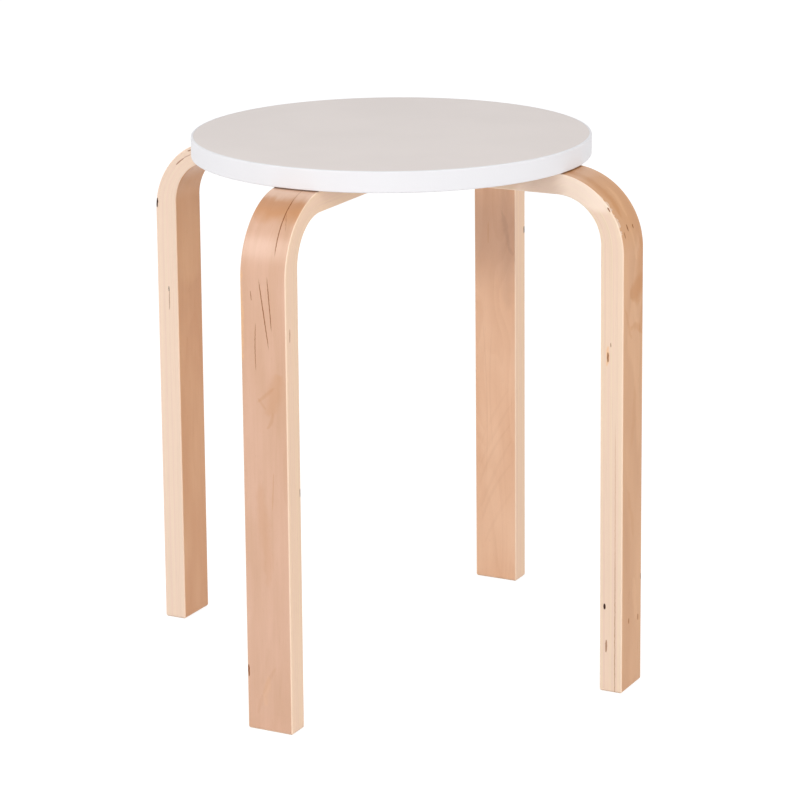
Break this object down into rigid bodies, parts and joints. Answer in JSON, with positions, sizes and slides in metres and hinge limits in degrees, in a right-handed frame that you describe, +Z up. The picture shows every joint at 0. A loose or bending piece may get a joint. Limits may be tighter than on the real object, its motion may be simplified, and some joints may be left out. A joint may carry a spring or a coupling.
{
  "type": "stacking stool",
  "caption": "Low stacking stool: a flat round white seat board with a banded rim on bent laminated wood legs whose arms are bolted flat under the seat in a cross.",
  "frame": {"origin": "on the floor, under the centre of the seat", "axes": "+Z up through the seat's centre; the four legs lie towards -Y (front), +X (right), +Y (back) and -X (left)"},
  "size_m": [0.4398, 0.4398, 0.45],
  "materials": {
    "board": "raw pressed board, hidden inside the seat",
    "laminate": "satin white laminate sheet",
    "edge_band": "satin white edge band",
    "leg_wood": "satin clear-lacquered pale bent laminated wood",
    "bolt": "zinc-plated steel, satin",
    "washer": "zinc-plated steel, satin",
    "insert": "yellow-passivated zinc plating"
  },
  "bodies": {
    "root": {"seat_core": "board", "seat_top_laminate": "laminate", "seat_under_laminate": "laminate", "seat_edge_band": "edge_band", "leg_front": "leg_wood", "leg_right": "leg_wood", "leg_back": "leg_wood", "leg_left": "leg_wood", "bolt_front_1": "bolt", "bolt_front_2": "bolt", "bolt_front_3": "bolt", "bolt_right_1": "bolt", "bolt_right_2": "bolt", "bolt_right_3": "bolt", "bolt_back_1": "bolt", "bolt_back_2": "bolt", "bolt_back_3": "bolt", "bolt_left_1": "bolt", "bolt_left_2": "bolt", "bolt_left_3": "bolt", "washer_front_1": "washer", "washer_front_2": "washer", "washer_front_3": "washer", "washer_right_1": "washer", "washer_right_2": "washer", "washer_right_3": "washer", "washer_back_1": "washer", "washer_back_2": "washer", "washer_back_3": "washer", "washer_left_1": "washer", "washer_left_2": "washer", "washer_left_3": "washer", "insert_front_1": "insert", "insert_front_2": "insert", "insert_front_3": "insert", "insert_right_1": "insert", "insert_right_2": "insert", "insert_right_3": "insert", "insert_back_1": "insert", "insert_back_2": "insert", "insert_back_3": "insert", "insert_left_1": "insert", "insert_left_2": "insert", "insert_left_3": "insert"}
  },
  "joints": []
}
